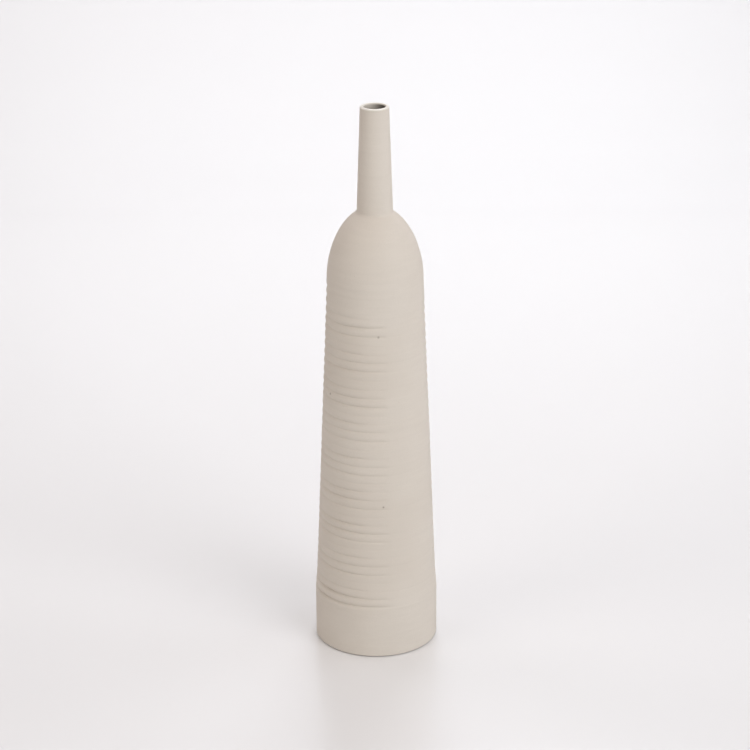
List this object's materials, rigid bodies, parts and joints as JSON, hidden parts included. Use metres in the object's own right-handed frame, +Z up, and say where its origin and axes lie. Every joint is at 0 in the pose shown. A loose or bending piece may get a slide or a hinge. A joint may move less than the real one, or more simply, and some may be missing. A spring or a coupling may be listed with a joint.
{
  "type": "ceramic bud vase",
  "caption": "Tall slim ceramic bud vase with a plain base band, a ribbed tapering body, a domed shoulder and a narrow tapered neck.",
  "frame": {"origin": "centre of the foot ring's underside, on the table", "axes": "+Z up along the vase's axis, from the foot to the mouth; the vase is turned, so +X and +Y are any two level directions"},
  "size_m": [0.0802, 0.0802, 0.361],
  "materials": {
    "matte_body": "matte",
    "bare_foot": "matte",
    "inner_glaze": "gloss"
  },
  "bodies": {
    "root": {"foot_ring": "bare_foot", "floor_slab": "bare_foot", "base_collar": "matte_body", "body_wall": "matte_body", "shoulder": "matte_body", "neck": "matte_body", "glaze_lining": "inner_glaze"}
  },
  "joints": []
}
